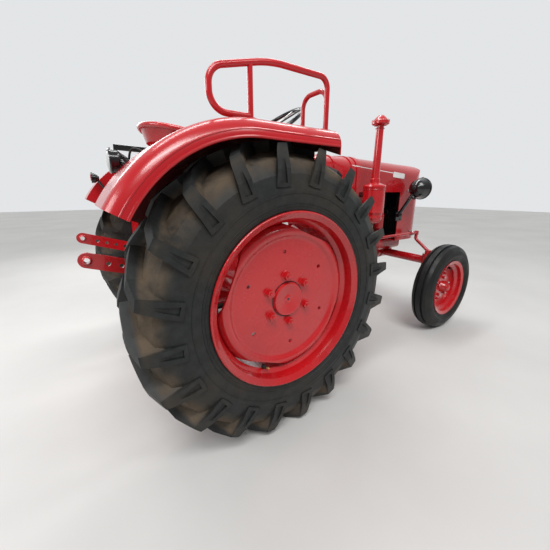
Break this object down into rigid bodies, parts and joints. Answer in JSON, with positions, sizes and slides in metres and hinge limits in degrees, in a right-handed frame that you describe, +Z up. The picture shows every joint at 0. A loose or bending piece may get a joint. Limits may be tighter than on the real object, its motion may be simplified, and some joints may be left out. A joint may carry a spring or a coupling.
{
  "type": "farm tractor",
  "caption": "Open-platform farm tractor with lugged drive wheels, ribbed steering wheels, fenders, pan seat and a rear three-point lift.",
  "frame": {"origin": "on the ground below the middle of the bounding box", "axes": "+X to the front, +Y to the left side, +Z up"},
  "size_m": [2.7692, 1.63, 1.6216],
  "materials": {
    "red_paint": "gloss",
    "wheel_paint": "gloss",
    "black_paint": "satin",
    "dark_iron": "satin",
    "tyre": "matte",
    "steel": "satin",
    "hand_plastic": "gloss"
  },
  "bodies": {
    "chassis": {"transmission_case": "red_paint", "clutch_housing": "red_paint", "lift_cover": "red_paint", "engine_block": "red_paint", "exhaust_pipe": "dark_iron", "front_bolster": "red_paint", "radiator": "black_paint", "nose_shell": "red_paint", "grille": "black_paint", "hood": "red_paint", "cowl": "red_paint", "air_cleaner": "red_paint", "intake_stack": "red_paint", "axle_trumpet_left": "red_paint", "axle_trumpet_right": "red_paint", "fender_left": "red_paint", "fender_right": "red_paint", "footplate_left": "red_paint", "footplate_right": "red_paint", "headlamp_left": "black_paint", "headlamp_right": "black_paint", "handrail": "red_paint", "seat_pan": "red_paint", "seat_support": "red_paint", "clutch_pedal": "red_paint", "brake_pedals": "red_paint", "gear_lever": "red_paint", "range_lever": "red_paint", "drawbar": "red_paint", "work_lamp": "black_paint", "tail_lamp": "black_paint", "pto_guard": "red_paint", "steering_box": "red_paint", "front_axle_beam": "red_paint", "cooling_fan": "black_paint"},
    "rear_wheel_left": {"rear_tyre_left": "tyre", "rear_rim_left": "wheel_paint", "rear_disc_left": "wheel_paint"},
    "rear_wheel_right": {"rear_tyre_right": "tyre", "rear_rim_right": "wheel_paint", "rear_disc_right": "wheel_paint"},
    "knuckle_left": {"knuckle_left": "red_paint"},
    "knuckle_right": {"knuckle_right": "red_paint"},
    "front_wheel_left": {"front_tyre_left": "tyre", "front_rim_left": "wheel_paint"},
    "front_wheel_right": {"front_tyre_right": "tyre", "front_rim_right": "wheel_paint"},
    "drag_link_left": {"drag_link_left": "red_paint"},
    "drag_link_right": {"drag_link_right": "red_paint"},
    "drop_arm_left": {"drop_arm_left": "red_paint"},
    "drop_arm_right": {"drop_arm_right": "red_paint"},
    "steering_wheel": {"steering_wheel": "hand_plastic"},
    "lift_arms": {"lift_arms": "red_paint"},
    "lower_link_left": {"lower_link_left": "red_paint"},
    "lower_link_right": {"lower_link_right": "red_paint"},
    "lift_rod_left": {"lift_rod_left": "red_paint"},
    "lift_rod_right": {"lift_rod_right": "red_paint"},
    "pto_shaft": {"pto_shaft": "steel"}
  },
  "joints": [
    {"name": "rear_wheel_left_spin", "type": "hinge", "parent": "chassis", "child": "rear_wheel_left", "pos_m": [-0.65035, 0.662, 0.643], "axis": [0, 1, 0], "continuous": true},
    {"name": "rear_wheel_right_spin", "type": "hinge", "parent": "chassis", "child": "rear_wheel_right", "pos_m": [-0.65035, -0.662, 0.643], "axis": [0, 1, 0], "continuous": true},
    {"name": "steer_right", "type": "hinge", "parent": "chassis", "child": "knuckle_right", "pos_m": [1.03965, -0.46, 0.534], "axis": [0, 0, 1], "range_deg": [-35, 35]},
    {"name": "steer_left", "type": "hinge", "parent": "chassis", "child": "knuckle_left", "pos_m": [1.03965, 0.46, 0.534], "axis": [0, 0, 1], "range_deg": [-36, 36]},
    {"name": "front_wheel_left_spin", "type": "hinge", "parent": "knuckle_left", "child": "front_wheel_left", "pos_m": [1.03965, 0.604, 0.345], "axis": [0, 1, 0], "continuous": true},
    {"name": "front_wheel_right_spin", "type": "hinge", "parent": "knuckle_right", "child": "front_wheel_right", "pos_m": [1.03965, -0.604, 0.345], "axis": [0, 1, 0], "continuous": true},
    {"name": "drag_link_left_swing", "type": "hinge", "parent": "knuckle_left", "child": "drag_link_left", "pos_m": [1.03965, 0.33, 0.755], "axis": [0, 0, 1], "range_deg": [-36, 36]},
    {"name": "drag_link_right_swing", "type": "hinge", "parent": "knuckle_right", "child": "drag_link_right", "pos_m": [1.03965, -0.33, 0.755], "axis": [0, 0, 1], "range_deg": [-36, 36]},
    {"name": "drop_arm_left_swing", "type": "hinge", "parent": "chassis", "child": "drop_arm_left", "pos_m": [0.14965, 0.304, 0.905], "axis": [0, 1, 0], "range_deg": [-31.5, 31.5]},
    {"name": "drop_arm_right_swing", "type": "hinge", "parent": "chassis", "child": "drop_arm_right", "pos_m": [0.14965, -0.304, 0.905], "axis": [0, 1, 0], "range_deg": [-31.5, 31.5]},
    {"name": "steering_wheel_turn", "type": "hinge", "parent": "chassis", "child": "steering_wheel", "pos_m": [-0.22535, 0, 1.492], "axis": [-0.5736, 0, 0.8192], "range_deg": [-451, 451]},
    {"name": "lower_link_right_lift", "type": "hinge", "parent": "chassis", "child": "lower_link_right", "pos_m": [-0.81535, -0.345, 0.656], "axis": [0, 1, 0], "range_deg": [-57, 5]},
    {"name": "lower_link_left_lift", "type": "hinge", "parent": "chassis", "child": "lower_link_left", "pos_m": [-0.81535, 0.345, 0.656], "axis": [0, 1, 0], "range_deg": [-58, 6]},
    {"name": "lift_arms_turn", "type": "hinge", "parent": "chassis", "child": "lift_arms", "pos_m": [-0.85535, 0, 0.9], "axis": [0, 1, 0], "range_deg": [-64.84, 6.6]},
    {"name": "lift_rod_right_swing", "type": "hinge", "parent": "lower_link_right", "child": "lift_rod_right", "pos_m": [-1.07214, -0.345, 0.73943], "axis": [0, 1, 0], "range_deg": [-6, 58]},
    {"name": "lift_rod_left_swing", "type": "hinge", "parent": "lower_link_left", "child": "lift_rod_left", "pos_m": [-1.07214, 0.345, 0.73943], "axis": [0, 1, 0], "range_deg": [-6, 58]},
    {"name": "pto_spin", "type": "hinge", "parent": "chassis", "child": "pto_shaft", "pos_m": [-0.95035, 0, 0.59], "axis": [1, 0, 0], "continuous": true}
  ],
  "couplings": [
    {"joint": "steer_left", "follows": "steer_right", "ratio": 1},
    {"joint": "drag_link_left_swing", "follows": "steer_right", "ratio": -1},
    {"joint": "drag_link_right_swing", "follows": "steer_right", "ratio": -1},
    {"joint": "drop_arm_right_swing", "follows": "steer_right", "ratio": 0.8667},
    {"joint": "drop_arm_left_swing", "follows": "steer_right", "ratio": -0.8667},
    {"joint": "steering_wheel_turn", "follows": "steer_right", "ratio": 12.857},
    {"joint": "lower_link_left_lift", "follows": "lower_link_right_lift", "ratio": 1},
    {"joint": "lift_arms_turn", "follows": "lower_link_right_lift", "ratio": 1.12},
    {"joint": "lift_rod_right_swing", "follows": "lower_link_right_lift", "ratio": -1},
    {"joint": "lift_rod_left_swing", "follows": "lower_link_right_lift", "ratio": -1}
  ]
}
